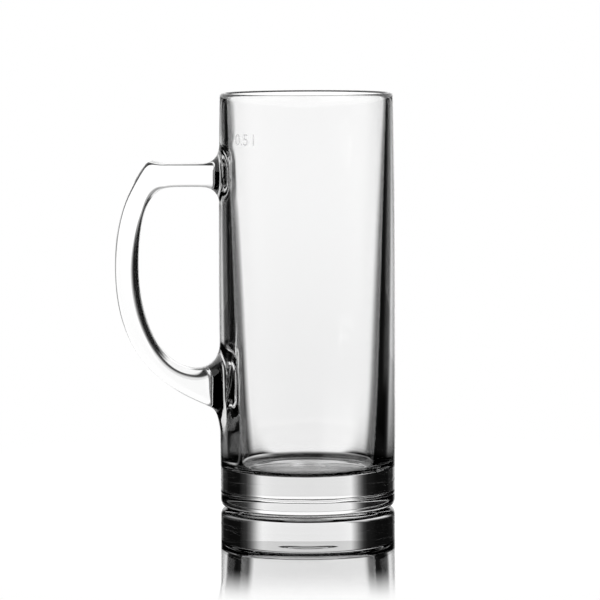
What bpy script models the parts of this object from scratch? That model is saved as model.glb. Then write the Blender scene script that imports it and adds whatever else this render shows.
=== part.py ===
# Tall beer mug in clear pressed glass: a thick-based straight body with a D-shaped side handle.
# Metres, +Z up. The origin is the centre of the underside, and the handle points along -X.
# The body is turned about Z. The handle is a loft between two outlines in the XZ plane, cut back
# to the body's outer wall with a small joint gap.
import math

import bmesh
import bpy
from mathutils import Vector
from mathutils.geometry import interpolate_bezier

MM = 0.001

# Body, outside
HEIGHT = 187.0 * MM
RIM_RADIUS = 39.0 * MM
BELLY_RADIUS = 39.8 * MM        # the widest place
BELLY_HEIGHT = 100.0 * MM
FOOT_RADIUS = 38.8 * MM
FOOT_ROUNDING = 4.0 * MM

# Body, inside
RIM_WALL = 2.9 * MM             # glass at the lip, rounded over its full thickness
FLOOR_THICKNESS = 18.0 * MM
FLOOR_RADIUS = 29.6 * MM        # bore at floor level, before its corner fillet
BORE_TAPER = 0.0302             # radius lost for each unit of depth, so that the plunger draws out
TUCK_HEIGHT = 44.0 * MM         # above the floor, where the bore starts to curve in faster
FLOOR_FILLET = 5.0 * MM

# Handle. Reaches are measured from the belly's wall outwards, heights from the base.
HANDLE_WIDTH = 16.0 * MM
HANDLE_REACH = 46.8 * MM        # to the outermost point of the grip
GRIP_HEIGHT = 107.0 * MM        # of that outermost point
GRIP_DEPTH = 10.4 * MM          # glass between the palm side and the finger side
BAR_DROP = 31.7 * MM            # from the rim down to the top of the upper bar
BAR_DEPTH = 10.2 * MM
BAR_REACH = 20.5 * MM           # end of the straight underside of the bar
THUMB_REACH = 30.8 * MM         # to the peak of the thumb rest
THUMB_RISE = 1.4 * MM           # of that peak above the bar
THUMB_RAMP = 6.5 * MM           # length of the rise to the peak
SHOULDER_RUN = 4.3 * MM         # from the peak out to where the grip starts
SHOULDER_DROP = 4.8 * MM        # from the peak down to that place
SHOULDER_SLOPE = math.radians(55)
HEEL_HEIGHT = 45.5 * MM         # underside of the lower root, close to the wall
HEEL_SLOPE = math.radians(19.5)
GAP_FLOOR = 62.4 * MM           # lowest point of the finger gap
GAP_FLOOR_REACH = 10.4 * MM     # that point's reach, where the flare up to the wall starts
ROOT_FILLET = 7.0 * MM          # where the bar flares onto the wall
HEEL_FILLET = 3.8 * MM          # where the lower root flares onto the wall below
ROOT_FLARE = 5.5 * MM           # extra width of each root on each side, at the wall
PALM_ROUNDING = 0.8 * MM        # long edges of the outer face
FINGER_ROUNDING = 3.8 * MM      # long edges of the inner face
ROOT_ROUNDING = 8.0 * MM        # corners of both roots at the wall

JOINT_GAP = 0.3 * MM            # between the handle's roots and the body

BODY_STEPS = 72                 # facets round the body
WALL_STEPS = 12                 # rings up each wall
ARC_STEPS = 5                   # facets on a small rounding
CORNER_STEPS = 3                # facets on each long edge of the handle


# Outside radius of the body: widest at the belly, easing in to the rim and to the foot.
def outer_radius(height):
    if height > BELLY_HEIGHT:
        share = (height - BELLY_HEIGHT) / (HEIGHT - BELLY_HEIGHT)
        return BELLY_RADIUS - (BELLY_RADIUS - RIM_RADIUS) * share ** 2
    share = (BELLY_HEIGHT - height) / BELLY_HEIGHT
    return BELLY_RADIUS - (BELLY_RADIUS - FOOT_RADIUS) * share ** 2


# Inside radius: a straight draft, with a faster tuck close to the floor.
def bore_radius(height):
    drafted = RIM_RADIUS - RIM_WALL - BORE_TAPER * (HEIGHT - height)
    at_floor = RIM_RADIUS - RIM_WALL - BORE_TAPER * (HEIGHT - FLOOR_THICKNESS)
    share = max(0.0, 1 - (height - FLOOR_THICKNESS) / TUCK_HEIGHT)
    return drafted - (at_floor - FLOOR_RADIUS) * share ** 2


# Points (radius, height) along an arc, from one angle to another, in degrees.
def arc(centre_radius, centre_height, radius, start, end):
    points = []
    for i in range(ARC_STEPS + 1):
        angle = math.radians(start + (end - start) * i / ARC_STEPS)
        out, up = radius * math.cos(angle), radius * math.sin(angle)
        points.append((centre_radius + out, centre_height + up))
    return points


# The outer wall from just under the lip down to the foot, moved outwards by a margin.
def wall_points(margin=0.0):
    top, bottom = HEIGHT - RIM_WALL / 2, FOOT_ROUNDING
    points = []
    for i in range(WALL_STEPS + 1):
        height = top + (bottom - top) * i / WALL_STEPS
        points.append((outer_radius(height) + margin, height))
    return points


# The bore from the floor's centre up to just under the lip.
def bore_points():
    corner_height = FLOOR_THICKNESS + FLOOR_FILLET
    corner_radius = bore_radius(corner_height) - FLOOR_FILLET
    top = HEIGHT - RIM_WALL / 2
    points = [(0.0, FLOOR_THICKNESS)]
    points += arc(corner_radius, corner_height, FLOOR_FILLET, -90, 0)
    for i in range(1, WALL_STEPS + 1):
        height = corner_height + (top - corner_height) * i / WALL_STEPS
        points.append((bore_radius(height), height))
    return points


def body_profile():
    lip_height = HEIGHT - RIM_WALL / 2
    lip_out, lip_in = outer_radius(lip_height), bore_radius(lip_height)
    lip = arc((lip_out + lip_in) / 2, lip_height, (lip_out - lip_in) / 2, 180, 0)
    foot_radius = outer_radius(FOOT_ROUNDING) - FOOT_ROUNDING
    foot = arc(foot_radius, FOOT_ROUNDING, FOOT_ROUNDING, 0, -90)
    return bore_points() + lip[1:-1] + wall_points() + foot[1:] + [(0.0, 0.0)]


# What the handle is cut back to: the body's outside, grown by the joint gap, closed at both ends.
def clearance_profile():
    wall = wall_points(JOINT_GAP)
    return [(0.0, wall[0][1])] + wall + [(0.0, wall[-1][1])]


def glass_material(name):
    material = bpy.data.materials.new(name)
    material.use_nodes = True
    shader = material.node_tree.nodes["Principled BSDF"]
    shader.inputs["Base Color"].default_value = (0.97, 0.985, 0.98, 1.0)
    shader.inputs["Roughness"].default_value = 0.02
    shader.inputs["Metallic"].default_value = 0.0
    shader.inputs["Transmission Weight"].default_value = 1.0
    shader.inputs["IOR"].default_value = 1.52
    return material


def turned(name, profile, collection):
    mesh = bpy.data.meshes.new(name)
    points = [(radius, 0.0, height) for radius, height in profile]
    edges = [(i, i + 1) for i in range(len(points) - 1)]
    mesh.from_pydata(points, edges, [])
    part = bpy.data.objects.new(name, mesh)
    collection.objects.link(part)
    screw = part.modifiers.new("turn", "SCREW")
    screw.axis = "Z"
    screw.angle = math.tau
    screw.steps = BODY_STEPS
    screw.render_steps = BODY_STEPS
    screw.use_merge_vertices = True
    screw.merge_threshold = 0.01 * MM
    screw.use_smooth_shade = True
    return part


# A place in the handle's plane, from its reach beyond the belly's wall and its height.
def place(reach, height):
    return Vector((-BELLY_RADIUS - reach, 0.0, height))


# Direction that leads away from the body and upwards at a slope.
def rising(slope):
    return Vector((-math.cos(slope), 0.0, math.sin(slope)))


OUTWARD = rising(0.0)
UPWARD = rising(math.pi / 2)


def straight(start, end):
    return [start, start.lerp(end, 1 / 3), start.lerp(end, 2 / 3), end]


# Quarter-round flare from the wall, at one height, to a bar that leaves the wall at another.
def flare(wall_height, bar_height, reach):
    wall, bar, corner = place(0.0, wall_height), place(reach, bar_height), place(0.0, bar_height)
    return [wall, wall.lerp(corner, 0.55), bar.lerp(corner, 0.55), bar]


# How far the roots run on inside the wall before they are cut, past the wall's curve there.
def root_depth():
    half = HANDLE_WIDTH / 2 + ROOT_FLARE
    narrowest = min(RIM_RADIUS, FOOT_RADIUS)
    return BELLY_RADIUS - math.sqrt(narrowest ** 2 - half ** 2) + JOINT_GAP


# The palm side, from the wall above the bar, round the grip, to the wall under the lower root.
# Each item is a cubic curve and the number of steps along it.
def palm_outline():
    bar_top = HEIGHT - BAR_DROP
    high, low = bar_top + ROOT_FILLET, HEEL_HEIGHT - HEEL_FILLET
    ramp = place(THUMB_REACH - THUMB_RAMP, bar_top)
    peak = place(THUMB_REACH, bar_top + THUMB_RISE)
    shoulder = peak + OUTWARD * SHOULDER_RUN - UPWARD * SHOULDER_DROP
    outermost = place(HANDLE_REACH, GRIP_HEIGHT)
    heel = place(HEEL_FILLET, HEEL_HEIGHT)
    upper, lower = shoulder.z - GRIP_HEIGHT, GRIP_HEIGHT - HEEL_HEIGHT
    dive, fall = -rising(-SHOULDER_SLOPE), rising(HEEL_SLOPE)
    third = THUMB_RAMP / 3
    return [
        (straight(place(-root_depth(), high), place(0.0, high)), 1),
        (flare(high, bar_top, ROOT_FILLET), 5),
        (straight(place(ROOT_FILLET, bar_top), ramp), 3),
        ([ramp, ramp + OUTWARD * third, peak - OUTWARD * third, peak], 3),
        ([peak, peak + OUTWARD * SHOULDER_RUN / 3, shoulder + dive * SHOULDER_DROP / 3, shoulder], 3),
        ([shoulder, shoulder - dive * 0.37 * upper, outermost + UPWARD * 0.38 * upper, outermost], 8),
        ([outermost, outermost - UPWARD * 0.5 * lower, heel + fall * 0.51 * lower, heel], 13),
        ([heel, heel - fall * HEEL_FILLET / 2, place(0.0, low + HEEL_FILLET / 2), place(0.0, low)], 4),
        (straight(place(0.0, low), place(-root_depth(), low)), 1),
    ]


# The finger side, from the wall under the bar, round the gap, to the wall above the lower root.
def finger_outline():
    ceiling = HEIGHT - BAR_DROP - BAR_DEPTH
    high, low = ceiling - ROOT_FILLET, GAP_FLOOR + GAP_FLOOR_REACH
    bar_end = place(BAR_REACH, ceiling)
    innermost = place(HANDLE_REACH - GRIP_DEPTH, GRIP_HEIGHT)
    gap_floor = place(GAP_FLOOR_REACH, GAP_FLOOR)
    upper, lower = ceiling - GRIP_HEIGHT, GRIP_HEIGHT - GAP_FLOOR
    corner_run, floor_run = bar_end.x - innermost.x, gap_floor.x - innermost.x
    return [
        (straight(place(-root_depth(), high), place(0.0, high)), 1),
        (flare(high, ceiling, ROOT_FILLET), 5),
        (straight(place(ROOT_FILLET, ceiling), bar_end), 3),
        ([bar_end, bar_end + OUTWARD * 0.85 * corner_run,
          innermost + UPWARD * 0.5 * upper, innermost], 14),
        ([innermost, innermost - UPWARD * 0.49 * lower,
          gap_floor + OUTWARD * 0.63 * floor_run, gap_floor], 13),
        (flare(low, GAP_FLOOR, GAP_FLOOR_REACH)[::-1], 4),
        (straight(place(0.0, low), place(-root_depth(), low)), 1),
    ]


def sampled(outline):
    points = [outline[0][0][0]]
    for curve, steps in outline:
        points += interpolate_bezier(*curve, steps + 1)[1:]
    return points


# Closed ring of points round the glass between a palm point and a finger point. Close to the wall
# it widens in a quarter round, its corners open out to the root's own rounding, and it bends round
# the body.
def handle_ring(palm_point, finger_point):
    depth = (finger_point - palm_point).length
    across = (finger_point - palm_point) / depth
    reach = -(palm_point.x + finger_point.x) / 2 - BELLY_RADIUS
    near = max(0.0, min(1.0, 1 - reach / ROOT_FILLET))
    half = HANDLE_WIDTH / 2 + ROOT_FLARE * (1 - math.sqrt(1 - near ** 2))
    most = 0.9 * min(half, depth / 2)
    palm = min(most, PALM_ROUNDING + (ROOT_ROUNDING - PALM_ROUNDING) * near ** 2)
    finger = min(most, FINGER_ROUNDING + (ROOT_ROUNDING - FINGER_ROUNDING) * near ** 2)
    corners = [
        (palm, half - palm, palm, 180),
        (depth - finger, half - finger, finger, 90),
        (depth - finger, finger - half, finger, 0),
        (palm, palm - half, palm, -90),
    ]
    ring = []
    for inward, sideways, radius, start in corners:
        for i in range(CORNER_STEPS + 1):
            angle = math.radians(start - 90 * i / CORNER_STEPS)
            along = across * (inward + radius * math.cos(angle))
            side = sideways + radius * math.sin(angle)
            bend = near * (BELLY_RADIUS - math.sqrt(BELLY_RADIUS ** 2 - side ** 2))
            ring.append(palm_point + along + Vector((bend, side, 0.0)))
    return ring


def lofted_handle(name, collection):
    shape = bmesh.new()
    rings = []
    for palm_point, finger_point in zip(sampled(palm_outline()), sampled(finger_outline())):
        rings.append([shape.verts.new(point) for point in handle_ring(palm_point, finger_point)])
    count = len(rings[0])
    for first, second in zip(rings, rings[1:]):
        for i in range(count):
            after = (i + 1) % count
            shape.faces.new((first[i], first[after], second[after], second[i]))
    shape.faces.new(rings[0])
    shape.faces.new(rings[-1])
    bmesh.ops.recalc_face_normals(shape, faces=shape.faces)
    mesh = bpy.data.meshes.new(name)
    shape.to_mesh(mesh)
    shape.free()
    mesh.shade_smooth()
    part = bpy.data.objects.new(name, mesh)
    collection.objects.link(part)
    return part


def cut_away(part, cutter):
    cut = part.modifiers.new("seat", "BOOLEAN")
    cut.operation = "DIFFERENCE"
    cut.solver = "EXACT"
    cut.object = cutter
    cutter.hide_render = True
    cutter.display_type = "WIRE"


def main():
    for old in list(bpy.data.objects):
        bpy.data.objects.remove(old, do_unlink=True)
    mug = bpy.data.collections.new("beer_mug")
    cutters = bpy.data.collections.new("cutters")
    bpy.context.scene.collection.children.link(mug)
    bpy.context.scene.collection.children.link(cutters)

    body = turned("glass_body", body_profile(), mug)
    body.data.materials.append(glass_material("body_glass"))

    handle = lofted_handle("handle", mug)
    handle.data.materials.append(glass_material("handle_glass"))
    cut_away(handle, turned("body_clearance", clearance_profile(), cutters))


main()
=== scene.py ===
import math

import bmesh
import bpy
from mathutils import Matrix, Vector
from mathutils.geometry import interpolate_bezier


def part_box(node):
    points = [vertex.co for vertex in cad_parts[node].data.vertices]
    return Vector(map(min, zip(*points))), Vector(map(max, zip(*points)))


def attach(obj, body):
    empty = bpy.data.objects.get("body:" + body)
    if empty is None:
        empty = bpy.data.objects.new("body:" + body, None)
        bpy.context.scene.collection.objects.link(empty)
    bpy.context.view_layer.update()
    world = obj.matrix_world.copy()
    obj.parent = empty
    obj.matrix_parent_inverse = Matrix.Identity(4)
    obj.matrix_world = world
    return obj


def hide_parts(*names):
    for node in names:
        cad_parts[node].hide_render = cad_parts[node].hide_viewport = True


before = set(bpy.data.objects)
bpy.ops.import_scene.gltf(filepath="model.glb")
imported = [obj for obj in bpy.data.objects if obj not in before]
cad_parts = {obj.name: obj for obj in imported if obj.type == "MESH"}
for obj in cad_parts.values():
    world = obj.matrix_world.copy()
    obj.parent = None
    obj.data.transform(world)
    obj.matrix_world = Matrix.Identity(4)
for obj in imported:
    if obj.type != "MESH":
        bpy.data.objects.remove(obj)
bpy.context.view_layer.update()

mm = 0.001
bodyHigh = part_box("glass_body")[1]
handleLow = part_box("handle")[0]
print("frame loaded:", ", ".join(sorted(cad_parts)))


# A socket that can be used in sums, so that shader maths reads as Python
class Sock:
    def __init__(self, tree, out):
        self.tree = tree
        self.out = out

    def math(self, operation, *others):
        return node(self.tree, "ShaderNodeMath", {"operation": operation},
                    dict(enumerate((self,) + others)))

    def __add__(self, other):
        return self.math("ADD", other)

    def __radd__(self, other):
        return self.math("ADD", other)

    def __sub__(self, other):
        return self.math("SUBTRACT", other)

    def __rsub__(self, other):
        return node(self.tree, "ShaderNodeMath", {"operation": "SUBTRACT"}, {0: other, 1: self})

    def __mul__(self, other):
        return self.math("MULTIPLY", other)

    def __truediv__(self, other):
        return self.math("DIVIDE", other)

    def __abs__(self):
        return self.math("ABSOLUTE")

    def smallest(self, other):
        return self.math("MINIMUM", other)

    def largest(self, other):
        return self.math("MAXIMUM", other)

    # 0 below the low value, 1 above the high one, and smooth between
    def rise(self, low, high):
        return node(self.tree, "ShaderNodeMapRange", {"interpolation_type": "SMOOTHSTEP"},
                    {"Value": self, "From Min": low, "From Max": high})


# One shader node: its settings first, then its sockets' values or links. Gives its first output
def node(tree, kind, settings=None, sockets=None, output=0):
    made = tree.nodes.new(kind)
    for key, value in (settings or {}).items():
        setattr(made, key, value)
    for key, value in (sockets or {}).items():
        if isinstance(value, Sock):
            tree.links.new(value.out, made.inputs[key])
        else:
            made.inputs[key].default_value = value
    return Sock(tree, made.outputs[output])


def split(vector):
    made = vector.tree.nodes.new("ShaderNodeSeparateXYZ")
    vector.tree.links.new(vector.out, made.inputs[0])
    return [Sock(vector.tree, made.outputs[i]) for i in range(3)]


# Places in the object's own space
def objectPlace(tree):
    return node(tree, "ShaderNodeTexCoord", output=3)


def newMaterial(name):
    made = bpy.data.materials.new(name)
    made.use_nodes = True
    made.node_tree.nodes.clear()
    return made, made.node_tree


# ---- the glass mug: a turned body with the handle drawn out of its wall

bodyShape = {
    "height": bodyHigh.z,
    "bellyRadius": bodyHigh.x,
    "bellyHeight": 100 * mm,
    "rimRadius": 39.0 * mm,
    "footRadius": 39.5 * mm,
    "footRounding": 3.0 * mm,
    "rimWall": 2.9 * mm,
    "floorThickness": 16.5 * mm,
    "floorRadius": 30.0 * mm,
    "boreTaper": 0.0302,
    "tuckHeight": 44.0 * mm,
    "floorFillet": 4.4 * mm,
    "standRadius": 31.5 * mm,       # inner edge of the ring that it stands on
    "standDepth": 0.9 * mm,         # how far the underside is hollowed inside that ring
    "dimpleRadius": 8.75 * mm,      # a shallow hollow in the middle of the bore's floor
    "dimpleDepth": 0.6 * mm,
    "seamHeight": 7.1 * mm,         # the mould's seam above the foot
    "seamRidge": 0.09 * mm,
    "seamWaver": 0.5 * mm,          # how far the seam strays up and down
    "seamTurns": (5, 11, 23),       # how often it does so in one turn
    "seamReach": 0.6 * mm,          # rings this near to the seam stray with it
    "seamHalf": 0.5 * mm,           # half the seam's height
    "seamAbove": 1.5 * mm,          # the next rings above and below it
    "seamBelow": 2.0 * mm,
    "dimpleStops": (0.6, 0.9, 1.15),        # rings of the dimple, as shares of its radius
    "dimpleSlope": 0.6,             # share of its depth at the second of them
    "standSlope": (1.2 * mm, 1.5 * mm),     # the stand ring's slope, outside and inside its edge
    "steps": 64,
    "floorSteps": 4,                # how finely each curve of the profile is cut
    "boreSteps": 12,
    "lipSteps": 6,
    "footSteps": 4,
}

# Rows of faces in the outer wall, which the handle's roots open between the heights given here
rootRows = {
    "upper": (136.0 * mm, 164.5 * mm),
    "lower": (32.0 * mm, 75.5 * mm),
    "rows": 7,
    "halfSteps": 4,                 # half a root's width, in steps round the body
    "above": 4,
    "between": 7,
    "below": 4,
}


def outerRadius(height):
    s = bodyShape
    if height > s["bellyHeight"]:
        share = (height - s["bellyHeight"]) / (s["height"] - s["bellyHeight"])
        return s["bellyRadius"] - (s["bellyRadius"] - s["rimRadius"]) * share ** 2
    share = (s["bellyHeight"] - height) / s["bellyHeight"]
    return s["bellyRadius"] - (s["bellyRadius"] - s["footRadius"]) * share ** 2


def boreRadius(height):
    s = bodyShape
    mouth = s["rimRadius"] - s["rimWall"]
    drafted = mouth - s["boreTaper"] * (s["height"] - height)
    atFloor = mouth - s["boreTaper"] * (s["height"] - s["floorThickness"])
    share = max(0.0, 1 - (height - s["floorThickness"]) / s["tuckHeight"])
    return drafted - (atFloor - s["floorRadius"]) * share ** 2


def between(low, high, count):
    return [low + (high - low) * i / count for i in range(count + 1)]


def arcPoints(centreR, centreZ, radius, start, end, count):
    return [(centreR + radius * math.cos(math.radians(a)), centreZ + radius * math.sin(math.radians(a)))
            for a in between(start, end, count)]


# Heights of the outer wall's rings, from the lip down, with even rows where the roots join
def wallHeights():
    s, r = bodyShape, rootRows
    lip, seam = s["height"] - s["rimWall"] / 2, s["seamHeight"]
    upper, lower = r["upper"], r["lower"]
    heights = between(lip, upper[1], r["above"]) + between(upper[1], upper[0], r["rows"])[1:]
    heights += between(upper[0], lower[1], r["between"])[1:] + between(lower[1], lower[0], r["rows"])[1:]
    heights += between(lower[0], seam + s["seamAbove"], r["below"])[1:]
    heights += [seam + s["seamHalf"], seam, seam - s["seamHalf"], seam - s["seamBelow"]]
    return heights + [s["footRounding"]]


def mugProfile():
    s = bodyShape
    corner = s["floorThickness"] + s["floorFillet"]
    lip = s["height"] - s["rimWall"] / 2
    floorFlat = boreRadius(corner) - s["floorFillet"]
    dimple, floorZ = s["dimpleRadius"], s["floorThickness"]
    flat, edge, apron = s["dimpleStops"]
    points = [(0, floorZ - s["dimpleDepth"]), (dimple * flat, floorZ - s["dimpleDepth"]),
              (dimple * edge, floorZ - s["dimpleDepth"] * s["dimpleSlope"]), (dimple, floorZ),
              (dimple * apron, floorZ), ((dimple + floorFlat) * 0.5, floorZ)]
    points += arcPoints(floorFlat, corner, s["floorFillet"], -90, 0, s["floorSteps"])
    points += [(boreRadius(z), z) for z in between(corner, lip, s["boreSteps"])[1:]]
    middle, half = (outerRadius(lip) + boreRadius(lip)) / 2, (outerRadius(lip) - boreRadius(lip)) / 2
    points += arcPoints(middle, lip, half, 180, 0, s["lipSteps"])[1:-1]
    points += [(outerRadius(z) + (s["seamRidge"] if z == s["seamHeight"] else 0), z) for z in wallHeights()]
    footR = outerRadius(s["footRounding"]) - s["footRounding"]
    points += arcPoints(footR, s["footRounding"], s["footRounding"], 0, -90, s["footSteps"])[1:]
    outer, inner = s["standSlope"]
    points += [(s["standRadius"] + outer, 0), (s["standRadius"], s["standDepth"] * 0.5),
               (s["standRadius"] - inner, s["standDepth"]), (s["standRadius"] * 0.5, s["standDepth"]),
               (0, s["standDepth"])]
    return points


# Subdivision draws a ring of straight edges in by this share, so the rings start larger
def turned(points, steps):
    shape = bmesh.new()
    grow = 3 / (2 + math.cos(math.tau / steps))
    line = [shape.verts.new((r * grow, 0, z)) for r, z in points]
    for a, b in zip(line, line[1:]):
        shape.edges.new((a, b))
    bmesh.ops.spin(shape, geom=shape.verts[:] + shape.edges[:], cent=(0, 0, 0), axis=(0, 0, 1),
                   angle=math.tau, steps=steps, use_merge=True)
    bmesh.ops.remove_doubles(shape, verts=shape.verts[:], dist=0.005 * mm)
    return shape


handleShape = {
    "width": 16.0 * mm,
    "reach": -handleLow.x - bodyHigh.x,
    "gripHeight": 107.0 * mm,
    "gripDepth": 10.7 * mm,
    "barTop": bodyHigh.z - 31.7 * mm,
    "barDepth": 10.2 * mm,
    "barReach": 20.5 * mm,
    "thumbReach": 30.8 * mm,
    "thumbRise": 1.4 * mm,
    "thumbRamp": 6.5 * mm,
    "shoulderRun": 4.3 * mm,
    "shoulderDrop": 4.8 * mm,
    "shoulderSlope": math.radians(55),
    "heelHeight": 45.5 * mm,
    "heelSlope": math.radians(19.5),
    "gapFloor": 62.4 * mm,
    "gapFloorReach": 10.4 * mm,
    "rootFillet": 7.0 * mm,
    "heelFillet": 3.8 * mm,
    "tail": 7.0 * mm,               # how far the lower root's thin end runs down the wall
    "upperFlare": (4.5 * mm, 4.2 * mm),         # how much wider, and from how far off the wall
    "lowerFlare": (8.0 * mm, 7.0 * mm),
    "middleRing": 15,               # rings before this one belong to the upper root
    "palmRounding": [(0, 1.0 * mm), (6, 0.8 * mm), (9, 2.6 * mm), (12, 3.6 * mm), (17, 3.0 * mm),
                     (25, 2.5 * mm), (29, 2.0 * mm)],           # at these rings, counted from the upper root
    "fingerRounding": [(0, 2.3 * mm), (6, 2.3 * mm), (10, 3.6 * mm), (17, 4.2 * mm), (26, 4.6 * mm),
                       (29, 4.0 * mm)],
    "rootRounding": 8.0 * mm,
    "roundingMost": 0.9,            # most of a half side that a rounding may take up
    "faceEdge": 1.2 * mm,           # where the rows of the handle's flat faces lie
    "faceStops": (0.2, 0.45, 0.7),
    "palmEdge": (1.5, 0.4),         # the row beside the palm's rounding: in roundings, and as a share
    "tip": 0.8 * mm,                # how far off the wall the curve into the tail pulls
}

# How far each end of a curve of the handle pulls, as a share of the curve's run
pulls = {
    "flare": 0.55,
    "palmShoulder": 0.37,
    "palmUpper": 0.38,
    "palmLower": 0.5,
    "palmHeel": 0.51,
    "fingerBar": 0.85,
    "fingerUpper": 0.5,
    "fingerLower": 0.49,
    "fingerFloor": 0.63,
}

outward, upward = Vector((-1, 0, 0)), Vector((0, 0, 1))


def place(reach, height):
    return Vector((-bodyShape["bellyRadius"] - reach, 0, height))


def rising(slope):
    return outward * math.cos(slope) + upward * math.sin(slope)


def straight(start, end):
    return [start, start.lerp(end, 1 / 3), start.lerp(end, 2 / 3), end]


def flare(wallHeight, barHeight, reach):
    wall, bar, corner = place(0, wallHeight), place(reach, barHeight), place(0, barHeight)
    return [wall, wall.lerp(corner, pulls["flare"]), bar.lerp(corner, pulls["flare"]), bar]


# Both outlines run from the upper root to the lower one: curves, each with its number of rings
def palmOutline():
    h = handleShape
    top, heelZ = h["barTop"], h["heelHeight"]
    ramp = place(h["thumbReach"] - h["thumbRamp"], top)
    peak = place(h["thumbReach"], top + h["thumbRise"])
    shoulder = peak + outward * h["shoulderRun"] - upward * h["shoulderDrop"]
    outermost, heel = place(h["reach"], h["gripHeight"]), place(h["heelFillet"], heelZ)
    upper, lower = shoulder.z - h["gripHeight"], h["gripHeight"] - heelZ
    dive, fall, third = -rising(-h["shoulderSlope"]), rising(h["heelSlope"]), h["thumbRamp"] / 3
    low = heelZ - h["heelFillet"]
    return [
        (flare(top + h["rootFillet"], top, h["rootFillet"]), 4),
        (straight(place(h["rootFillet"], top), ramp), 2),
        ([ramp, ramp + outward * third, peak - outward * third, peak], 3),
        ([peak, peak + outward * h["shoulderRun"] / 3,
          shoulder + dive * h["shoulderDrop"] / 3, shoulder], 3),
        ([shoulder, shoulder - dive * pulls["palmShoulder"] * upper,
          outermost + upward * pulls["palmUpper"] * upper, outermost], 5),
        ([outermost, outermost - upward * pulls["palmLower"] * lower,
          heel + fall * pulls["palmHeel"] * lower, heel], 8),
        ([heel, heel - fall * h["heelFillet"] / 2, place(h["tip"], low), place(0, low - h["tail"])], 4),
    ]


def fingerOutline():
    h = handleShape
    ceiling = h["barTop"] - h["barDepth"]
    barEnd, floor = place(h["barReach"], ceiling), place(h["gapFloorReach"], h["gapFloor"])
    innermost = place(h["reach"] - h["gripDepth"], h["gripHeight"])
    upper, lower = ceiling - h["gripHeight"], h["gripHeight"] - h["gapFloor"]
    cornerRun, floorRun = barEnd.x - innermost.x, floor.x - innermost.x
    return [
        (flare(ceiling - h["rootFillet"], ceiling, h["rootFillet"]), 4),
        (straight(place(h["rootFillet"], ceiling), barEnd), 2),
        ([barEnd, barEnd + outward * pulls["fingerBar"] * cornerRun,
          innermost + upward * pulls["fingerUpper"] * upper, innermost], 11),
        ([innermost, innermost - upward * pulls["fingerLower"] * lower,
          floor + outward * pulls["fingerFloor"] * floorRun, floor], 8),
        (flare(h["gapFloor"] + h["gapFloorReach"], h["gapFloor"], h["gapFloorReach"])[::-1], 4),
    ]


def sampled(outline):
    points = [outline[0][0][0]]
    for curve, count in outline:
        points += interpolate_bezier(*curve, count + 1)[1:]
    return points


# Section of the handle as (share of the depth in from the palm side, sideways place), going from
# the palm side's -Y corner across it, down the +Y face, back across the finger side and up
def section(depth, half, palm, finger):
    def corner(rounding, degrees):
        a = math.radians(degrees)
        return rounding * (1 - math.cos(a)), half - rounding * (1 - math.sin(a))

    h = handleShape
    first, second, third = h["faceStops"]
    rounds, share = h["palmEdge"]
    palmStay = half - palm - min(rounds * palm, share * (half - palm))
    flat = depth - palm - finger
    palmSide = [corner(palm, 45), (0, half - palm), (0, palmStay), (0, palmStay / 2), (0, 0)]
    face = [(palm, half), (palm + min(h["faceEdge"], flat * first), half), (palm + flat * second, half),
            (palm + flat * third, half), (depth - finger, half)]
    (u22, v22), (u45, v45), (u67, v67) = [corner(finger, degrees) for degrees in (22.5, 45, 67.5)]
    bottom = [(depth - u45, v45), (depth - u22, v22), (depth, half - finger),
              (depth, (half - finger) / 2), (depth, 0)]
    top = [(u, -v) for u, v in palmSide] + palmSide[-2::-1]
    sideways = face + [(depth - u67, v67)]
    across = bottom + [(u, -v) for u, v in bottom[-2::-1]]
    back = [(u, -v) for u, v in sideways[::-1]]
    return top + sideways + across + back


# The value at a place on the line through some stops
def onLine(stops, at):
    for (a, low), (b, high) in zip(stops, stops[1:]):
        if at <= b:
            return low + (high - low) * (at - a) / (b - a)
    return stops[-1][1]


# The ring round the handle between a palm point and a finger point. Close to the wall it widens,
# its corners open out, and it follows the wall
def handleRing(index, palmPoint, fingerPoint):
    h = handleShape
    across = fingerPoint - palmPoint
    depth = across.length
    reach = -(palmPoint.x + fingerPoint.x) / 2 - bodyShape["bellyRadius"]
    near = max(0.0, min(1.0, 1 - reach / h["rootFillet"]))
    wider, flareReach = h["upperFlare"] if index < h["middleRing"] else h["lowerFlare"]
    nearSide = max(0.0, min(1.0, 1 - reach / flareReach))
    half = h["width"] / 2 + wider * (1 - math.sqrt(1 - nearSide ** 2))
    most = h["roundingMost"] * min(half, depth / 2)
    palm, finger = onLine(h["palmRounding"], index), onLine(h["fingerRounding"], index)
    palm = min(most, palm + (h["rootRounding"] - palm) * near ** 2)
    finger = min(most, finger + (h["rootRounding"] - finger) * near ** 2)
    ring = []
    for inward, side in section(depth, half, palm, finger):
        point = palmPoint + across * (inward / depth) + Vector((0, side, 0))
        wall = math.sqrt(outerRadius(point.z) ** 2 - side ** 2)
        point.x += near * (bodyShape["bellyRadius"] - wall)
        ring.append(point)
    return ring


def boundaryLoop(shape, low, high):
    inside = [e for e in shape.edges
              if e.is_boundary and all(low - mm < v.co.z < high + mm for v in e.verts)]
    start = max({v for e in inside for v in e.verts}, key=lambda v: (round(v.co.z, 5), -v.co.y))
    loop, last = [start], None
    while len(loop) < len(inside):
        here = loop[-1]
        nexts = [e.other_vert(here) for e in here.link_edges if e in inside]
        if last is None:
            chosen = max(nexts, key=lambda v: v.co.y)
        else:
            chosen = next(v for v in nexts if v is not last)
        last = here
        loop.append(chosen)
    return loop


def openWall(shape, low, high):
    reach = math.tau / bodyShape["steps"] * rootRows["halfSteps"]
    gone = []
    for face in shape.faces:
        c = face.calc_center_median()
        turn = abs(math.atan2(c.y, -c.x))
        if turn < reach and low < c.z < high and math.hypot(c.x, c.y) > boreRadius(c.z) + mm:
            gone.append(face)
    bmesh.ops.delete(shape, geom=gone, context="FACES")


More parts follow.
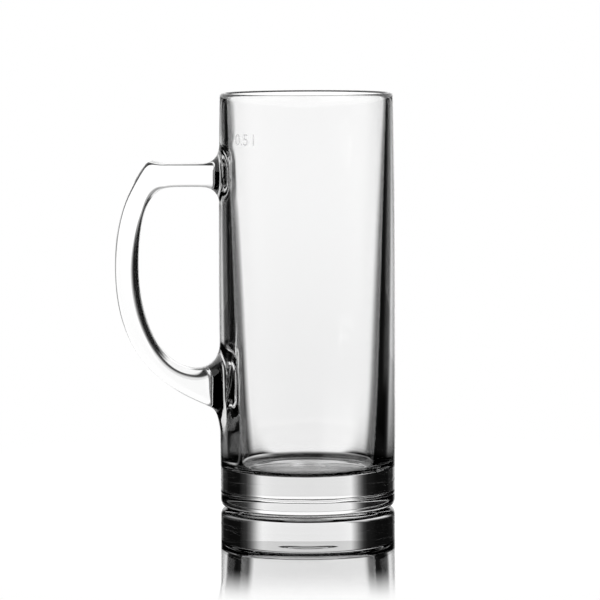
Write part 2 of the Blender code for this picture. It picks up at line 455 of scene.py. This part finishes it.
def ringEdges(loop):
    pairs = zip(loop, loop[1:] + loop[:1])
    return [next(e for e in a.link_edges if e.other_vert(a) is b) for a, b in pairs]


def drawHandle(shape):
    openWall(shape, *rootRows["upper"])
    openWall(shape, *rootRows["lower"])
    lowerEdges = ringEdges(boundaryLoop(shape, *rootRows["lower"]))
    loop = boundaryLoop(shape, *rootRows["upper"])
    rings = zip(sampled(palmOutline()), sampled(fingerOutline()))
    for index, (palmPoint, fingerPoint) in enumerate(rings):
        made = bmesh.ops.extrude_edge_only(shape, edges=ringEdges(loop))["geom"]
        fresh = {g for g in made if isinstance(g, bmesh.types.BMVert)}
        loop = [next(e.other_vert(v) for e in v.link_edges if e.other_vert(v) in fresh) for v in loop]
        for vert, point in zip(loop, handleRing(index, palmPoint, fingerPoint)):
            vert.co = point
    bmesh.ops.bridge_loops(shape, edges=ringEdges(loop) + lowerEdges)


# Real moulds meet unevenly: the seam's ring wanders a little round the foot
def waverSeam(shape):
    s = bodyShape
    for vert in shape.verts:
        off = abs(vert.co.z - s["seamHeight"])
        if off < s["seamReach"] and math.hypot(vert.co.x, vert.co.y) > s["footRadius"] - mm:
            turn = math.atan2(vert.co.y, vert.co.x)
            sway = sum(math.sin(count * turn + shift) for shift, count in enumerate(s["seamTurns"]))
            vert.co.z += sway / len(s["seamTurns"]) * s["seamWaver"]


def makeMug():
    shape = turned(mugProfile(), bodyShape["steps"])
    waverSeam(shape)
    drawHandle(shape)
    bmesh.ops.recalc_face_normals(shape, faces=shape.faces[:])
    mesh = bpy.data.meshes.new("glass_mug")
    shape.to_mesh(mesh)
    shape.free()
    mesh.shade_smooth()
    mug = bpy.data.objects.new("glass_mug", mesh)
    bpy.context.scene.collection.objects.link(mug)
    smooth = mug.modifiers.new("smooth", "SUBSURF")
    smooth.levels = smooth.render_levels = 2
    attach(mug, "root")
    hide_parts("glass_body", "handle")
    return mug


glassFinish = {
    "colour": (0.99, 0.99, 0.99, 1),
    "roughness": 0.0,
    "ior": 1.52,
    "waveScale": 22.0,              # the pressed surface waves a little
    "waveDetail": 1.0,
    "waveStrength": 0.2,
    "waveDepth": 0.35 * mm,
}


def glassMaterial():
    g = glassFinish
    made, tree = newMaterial("clear_glass")
    shader = tree.nodes.new("ShaderNodeBsdfPrincipled")
    shader.inputs["Base Color"].default_value = g["colour"]
    shader.inputs["Roughness"].default_value = g["roughness"]
    shader.inputs["IOR"].default_value = g["ior"]
    shader.inputs["Transmission Weight"].default_value = 1.0
    spot = objectPlace(tree)
    waves = node(tree, "ShaderNodeTexNoise", {},
                 {"Vector": spot, "Scale": g["waveScale"], "Detail": g["waveDetail"]})
    bump = node(tree, "ShaderNodeBump", {},
                {"Height": waves, "Strength": g["waveStrength"], "Distance": g["waveDepth"]})
    tree.links.new(bump.out, shader.inputs["Normal"])
    out = tree.nodes.new("ShaderNodeOutputMaterial")
    tree.links.new(shader.outputs[0], out.inputs["Surface"])
    return made


mug = makeMug()
mug.data.materials.append(glassMaterial())
print("mug:", len(mug.data.polygons), "cage faces")


# ---- the frosted capacity mark, a thin layer on the outer wall beside the handle

markShape = {
    "digits": "0.5 l",
    "size": 7.2 * mm,
    "base": 164.6 * mm,             # height of the line that the digits stand on
    "turn": math.radians(53.5),     # from the front towards the handle, where the first digit starts
    "thickness": 0.02 * mm,
    "clear": 0.05 * mm,             # keeps the layer just outside the glass
}


def makeMark():
    m = markShape
    writing = bpy.data.curves.new("digits", "FONT")
    writing.body = m["digits"]
    writing.size = m["size"]
    writing.extrude = m["thickness"]
    holder = bpy.data.objects.new("digits", writing)
    bpy.context.scene.collection.objects.link(holder)
    ready = holder.evaluated_get(bpy.context.evaluated_depsgraph_get())
    mesh = bpy.data.meshes.new_from_object(ready)
    bpy.data.objects.remove(holder)
    for vert in mesh.vertices:
        height = m["base"] + vert.co.y
        radius = outerRadius(height) + m["clear"] + vert.co.z
        turn = m["turn"] - vert.co.x / radius
        vert.co = (-radius * math.sin(turn), -radius * math.cos(turn), height)
    mark = bpy.data.objects.new("capacity_mark", mesh)
    bpy.context.scene.collection.objects.link(mark)
    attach(mark, "root")
    return mark


frostFinish = {
    "colour": (0.9, 0.91, 0.92, 1),
    "roughness": 0.6,
    "grainScale": 2500.0,
    "grainDetail": 2.0,
    "grain": (0.3, 0.7),
    "coverLeast": 0.15,             # how much it hides between the grains, and how much more on them
    "coverMore": 0.3,
}


def frostMaterial():
    f = frostFinish
    made, tree = newMaterial("frosted_glass")
    shader = tree.nodes.new("ShaderNodeBsdfPrincipled")
    shader.inputs["Base Color"].default_value = f["colour"]
    shader.inputs["Roughness"].default_value = f["roughness"]
    spot = objectPlace(tree)
    grain = node(tree, "ShaderNodeTexNoise", {},
                 {"Vector": spot, "Scale": f["grainScale"], "Detail": f["grainDetail"]})
    cover = grain.rise(*f["grain"]) * f["coverMore"] + f["coverLeast"]
    tree.links.new(cover.out, shader.inputs["Alpha"])
    out = tree.nodes.new("ShaderNodeOutputMaterial")
    tree.links.new(shader.outputs[0], out.inputs["Surface"])
    return made


mark = makeMark()
mark.data.materials.clear()
mark.data.materials.append(frostMaterial())
print("capacity mark:", len(mark.data.polygons), "faces")


# ---- the set: panels, sky, floor and camera

panelShape = {
    "away": 0.42,                   # from the mug's axis to each luminous panel
    "halfWidth": 0.32,
    "height": 0.50,
    "sunk": 0.01,                   # how far a panel reaches below the floor
    "fadeFrom": 0.20,               # above this height a panel grows dimmer
    "fadeTo": 0.40,
    "level": 1.11,
    "dimFoot": 0.09,                # share of its light that a panel loses towards the floor
    "thinLoss": 0.05,               # share lost when the floor mirrors it to the mug's walls
    "thickLoss": 0.23,              # and to the solid base
    "thinFrom": (0, 0.04),
    "wallPasses": 3,                # a ray that passed more surfaces than this crossed the hollow walls
    "fadeLoss": 0.6,                # share lost at the top
    "dim": (-0.03, 0.12),           # heights between which the light grows from its dim foot
    "corner": (0.10, 0.14),         # between these heights the lit part starts to lean in at its left
    "cornerSide": (-0.1, 0.0),
    "streak": (-0.27, -0.22),       # a grey streak beside that corner
    "streakLevel": 12,              # its level, in times the lean
}

# Brightness across a panel, from its left to its right, in metres from its middle. The back panel's
# fall-off began as readings at the edges of the glass in the reference, then it was changed
backLevels = [(-0.32, 0.0), (-0.23, 0.01), (-0.205, 0.05), (-0.19, 0.14), (-0.175, 0.3), (-0.166, 0.47),
              (-0.155, 0.68), (-0.146, 0.90), (-0.138, 1.1), (-0.10, 1.03), (0.0, 1.0), (0.10, 1.03),
              (0.150, 1.1), (0.162, 1.0), (0.173, 0.86), (0.187, 0.60), (0.204, 0.34), (0.222, 0.15),
              (0.25, 0.04), (0.32, 0.0)]
sideLevels = [(-0.32, 0.0), (-0.19, 0.05), (-0.155, 0.5), (-0.125, 1.0), (0.125, 1.0), (0.155, 0.5),
              (0.19, 0.05), (0.32, 0.0)]


# A ramp node whose stops are given in the value's own units
def ramp(value, stops):
    low, high = stops[0][0], stops[-1][0]
    made = value.tree.nodes.new("ShaderNodeValToRGB")
    elements = made.color_ramp.elements
    while len(elements) < len(stops):
        elements.new(0.5)
    for element, (at, level) in zip(elements, stops):
        element.position = (at - low) / (high - low)
        element.color = (level, level, level, 1)
    share = (value - low) / (high - low)
    value.tree.links.new(share.out, made.inputs[0])
    return Sock(value.tree, made.outputs[0])


def lightPath(tree, *names):
    paths = tree.nodes.new("ShaderNodeLightPath")
    return [Sock(tree, paths.outputs[name]) for name in names]


# A luminous panel, which only glass and the floor's reflection see
def makePanel(name, turn, levels, innerLight, lean, toFloor):
    p = panelShape
    shape = bmesh.new()
    bmesh.ops.create_grid(shape, x_segments=1, y_segments=1, size=0.5)
    bmesh.ops.scale(shape, vec=(2 * p["halfWidth"], p["height"], 1), verts=shape.verts[:])
    bmesh.ops.rotate(shape, matrix=Matrix.Rotation(math.pi / 2, 3, "X"), verts=shape.verts[:])
    bmesh.ops.translate(shape, vec=(0, p["away"], p["height"] / 2 - p["sunk"]), verts=shape.verts[:])
    mesh = bpy.data.meshes.new(name)
    shape.to_mesh(mesh)
    shape.free()
    panel = bpy.data.objects.new(name, mesh)
    panel.rotation_euler.z = turn
    panel.visible_camera = False
    panel.visible_diffuse = False
    panel.visible_shadow = False
    bpy.context.scene.collection.objects.link(panel)
    made, tree = newMaterial(name)
    x, y, z = split(objectPlace(tree))
    upperLeft = z.rise(*p["corner"]) * (1 - x.rise(*p["cornerSide"]))
    shifted = x - upperLeft * lean
    across = ramp(shifted.largest(levels[0][0]).smallest(levels[-1][0]), levels)
    across = across.largest(upperLeft * x.rise(*p["streak"]) * lean * p["streakLevel"])
    fade = 1 - z.rise(p["fadeFrom"], p["fadeTo"]) * p["fadeLoss"]
    bounces, passed, reflected = lightPath(tree, "Glossy Depth", "Transmission Depth", "Is Reflection Ray")
    inside = bounces.smallest(1) * passed.smallest(1) * (1 - reflected)
    dim = 1 - (1 - z.rise(*p["dim"])) * p["dimFoot"] * passed.smallest(1)
    thick = passed.smallest(1) * (p["wallPasses"] + 1 - passed).largest(0).smallest(1)
    thin = (passed - p["wallPasses"]).largest(0).smallest(1) * z.rise(*p["thinFrom"])
    dim = dim * (1 - reflected * (thick * p["thickLoss"] + thin * p["thinLoss"]))
    twice = reflected * (bounces - 1).largest(0).smallest(1)
    level = fade * dim * p["level"] * (1 - inside.largest(twice) * (1 - innerLight)) * across.largest(1)
    light = node(tree, "ShaderNodeEmission", {}, {"Color": (1, 1, 1, 1), "Strength": level})
    clear = node(tree, "ShaderNodeBsdfTransparent")
    shown = across.smallest(1) * passed.largest(toFloor).smallest(1)
    mix = node(tree, "ShaderNodeMixShader", {}, {0: shown, 1: clear, 2: light})
    out = tree.nodes.new("ShaderNodeOutputMaterial")
    tree.links.new(mix.out, out.inputs["Surface"])
    mesh.materials.append(made)


sky = {
    "dark": 0.004,
    "upFrom": 0.22,                 # sine of the height angle where the sky starts to grow lighter
    "upTo": 0.40,
    "up": 0.35,
    "corner": (0.3, 0.8),           # it is lightest towards two opposite corners
    "horizon": 0.01,                # the floor mirrors a white sky above this
    "mirrorDepth": 3,               # and only for rays below this depth
}


def makeSky():
    world = bpy.data.worlds.new("sky")
    bpy.context.scene.world = world
    world.use_nodes = True
    tree = world.node_tree
    tree.nodes.clear()
    x, y, z = split(node(tree, "ShaderNodeTexCoord"))
    camera, diffuse, glossy, depth = lightPath(
        tree, "Is Camera Ray", "Is Diffuse Ray", "Is Glossy Ray", "Ray Depth")
    flat = (x * x + y * y).math("SQRT")
    diagonal = x * y * -2 / (flat * flat)
    up = z.rise(sky["upFrom"], sky["upTo"])
    up = up * (sky["up"] + diagonal.rise(*sky["corner"]) * (1 - sky["up"]))
    fromFloor = glossy * (sky["mirrorDepth"] - depth).largest(0).smallest(1) * z.rise(0.0, sky["horizon"])
    seen = camera.largest(diffuse).largest(fromFloor)
    level = up.largest(sky["dark"]) * (1 - seen) + seen
    back = node(tree, "ShaderNodeBackground", {}, {"Color": (1, 1, 1, 1), "Strength": level})
    out = tree.nodes.new("ShaderNodeOutputWorld")
    tree.links.new(back.out, out.inputs["Surface"])


floorShape = {
    "halfSize": 3.0,
    "drop": 0.3 * mm,               # keeps it clear of the mug's underside
    "clearTo": 0.185,               # the reflection is clear up to here from the mug
    "goneAt": 0.27,                 # and gone from here on
    "seen": (0.66, 0.80),           # facing values between which the floor's gloss grows for the camera
    "seenMore": 0.7,
    "seenLeast": 0.3,
    "hidden": (0.72, 0.83),         # the same for rays through glass
    "patch": (0.5, 0.85),           # for those, two opposite quarters of the floor glow
    "patchNear": (0.05, 0.08),
    "litPasses": 2,                 # and so does all of it, for rays that passed more surfaces than this
    "litNear": (0.06, 0.1),
    "dark": (0.45, 0.7),            # but it stays dark behind the mug, a painted shade in what the glass shows
    "behind": 0.01,
    "darkFacing": (0.60, 0.68),     # for rays that meet it at a low angle, so this painted shade changes with the angle of view
}


def makeFloor():
    f = floorShape
    shape = bmesh.new()
    bmesh.ops.create_grid(shape, x_segments=1, y_segments=1, size=f["halfSize"])
    bmesh.ops.translate(shape, vec=(0, 0, -f["drop"]), verts=shape.verts[:])
    mesh = bpy.data.meshes.new("floor")
    shape.to_mesh(mesh)
    shape.free()
    floor = bpy.data.objects.new("floor", mesh)
    bpy.context.scene.collection.objects.link(floor)
    made, tree = newMaterial("glossy_floor")
    x, y = split(objectPlace(tree))[:2]
    camera, passed = lightPath(tree, "Is Camera Ray", "Transmission Depth")
    radius = (x * x + y * y).math("SQRT")
    grazing = node(tree, "ShaderNodeLayerWeight", {}, {"Blend": 0.5}, 1)
    shown = 1 - radius.rise(f["clearTo"], f["goneAt"])
    shown = shown * (grazing.rise(*f["seen"]) * f["seenMore"] + f["seenLeast"])
    hidden = grazing.rise(*f["hidden"])
    share = camera * shown + (1 - camera) * hidden
    corner = x * y * 2 / (radius * radius)
    patch = (corner * -1).rise(*f["patch"]) * radius.rise(*f["patchNear"])
    patch = patch.largest((passed - f["litPasses"]).smallest(1) * radius.rise(*f["litNear"]))
    behind = abs(corner).rise(*f["dark"]) * y.rise(0, f["behind"])
    patch = patch * (1 - behind * grazing.rise(*f["darkFacing"]))   # painted shade behind the mug, which changes with the angle of view
    glow = camera + (1 - camera) * patch
    mirror = node(tree, "ShaderNodeBsdfGlossy", {}, {"Color": (1, 1, 1, 1), "Roughness": 0.0})
    white = node(tree, "ShaderNodeEmission", {}, {"Color": (1, 1, 1, 1), "Strength": glow})
    mix = node(tree, "ShaderNodeMixShader", {}, {0: share, 1: white, 2: mirror})
    out = tree.nodes.new("ShaderNodeOutputMaterial")
    tree.links.new(mix.out, out.inputs["Surface"])
    mesh.materials.append(made)


cameraPlace = {
    "distance": 1.70,
    "height": 240.0 * mm,
    "roll": -0.25,
    "frame": 270.0 * mm,            # height of the picture at the mug's axis
    "aimX": -3.2 * mm,
    "aimZ": 93.4 * mm,
    "sensor": 36,
    "nearest": 0.05,
    "farthest": 20,
}


def makeCamera():
    c = cameraPlace
    data = bpy.data.cameras.new("camera")
    data.sensor_width = c["sensor"]
    data.lens = c["sensor"] * c["distance"] / c["frame"]
    data.clip_start = c["nearest"]
    data.clip_end = c["farthest"]
    camera = bpy.data.objects.new("camera", data)
    bpy.context.scene.collection.objects.link(camera)
    bpy.context.scene.camera = camera
    aim = Vector((c["aimX"], 0, c["aimZ"]))
    spot = Vector((c["aimX"], -c["distance"], c["height"]))
    look = (aim - spot).to_track_quat("-Z", "Y")
    camera.rotation_mode = "QUATERNION"
    camera.rotation_quaternion = look @ Matrix.Rotation(math.radians(c["roll"]), 3, "Z").to_quaternion()
    camera.location = spot


# For each panel: its turn in degrees, its levels, its light for rays that bounced inside the glass,
# how far its upper left leans in, and 1 where the bare floor mirrors it
panels = {
    "panel_back": (0, backLevels, 0.80, 0.028, 1),
    "panel_left": (90, sideLevels, 0.17, 0, 0),
    "panel_right": (-90, sideLevels, 0.17, 0, 0),
    "panel_front": (180, sideLevels, 0.0, 0, 0),
}

for name, (degrees, *others) in panels.items():
    makePanel(name, math.radians(degrees), *others)
makeSky()
makeFloor()
makeCamera()
bpy.context.scene.view_settings.view_transform = "Standard"
print("set:", len(panels), "panels, sky, floor and camera")
